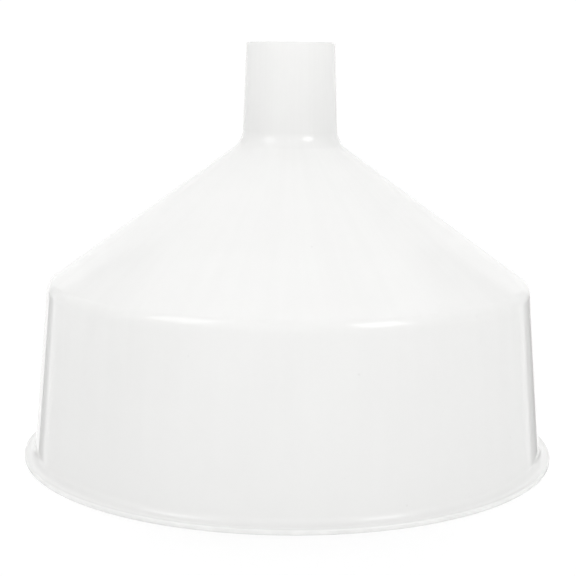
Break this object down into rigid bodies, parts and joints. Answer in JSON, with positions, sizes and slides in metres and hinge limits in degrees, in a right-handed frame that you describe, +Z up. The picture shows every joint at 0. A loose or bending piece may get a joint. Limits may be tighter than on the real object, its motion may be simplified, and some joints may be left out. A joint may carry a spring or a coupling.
{
  "type": "canning funnel",
  "caption": "Wide one-piece canning funnel of translucent plastic, standing rim down: flat rim flange, tall leaning bowl wall, straight cone, short tapered spout.",
  "frame": {"origin": "centre of the circle on which the rim stands, at the bottom of the box round the part", "axes": "+Z up the funnel's axis, from the rim towards the spout; the part is round, so +X and +Y are free"},
  "size_m": [0.254, 0.254, 0.195],
  "materials": {
    "natural_polypropylene": "satin moulded, milky translucent"
  },
  "bodies": {
    "root": {"funnel": "natural_polypropylene"}
  },
  "joints": []
}
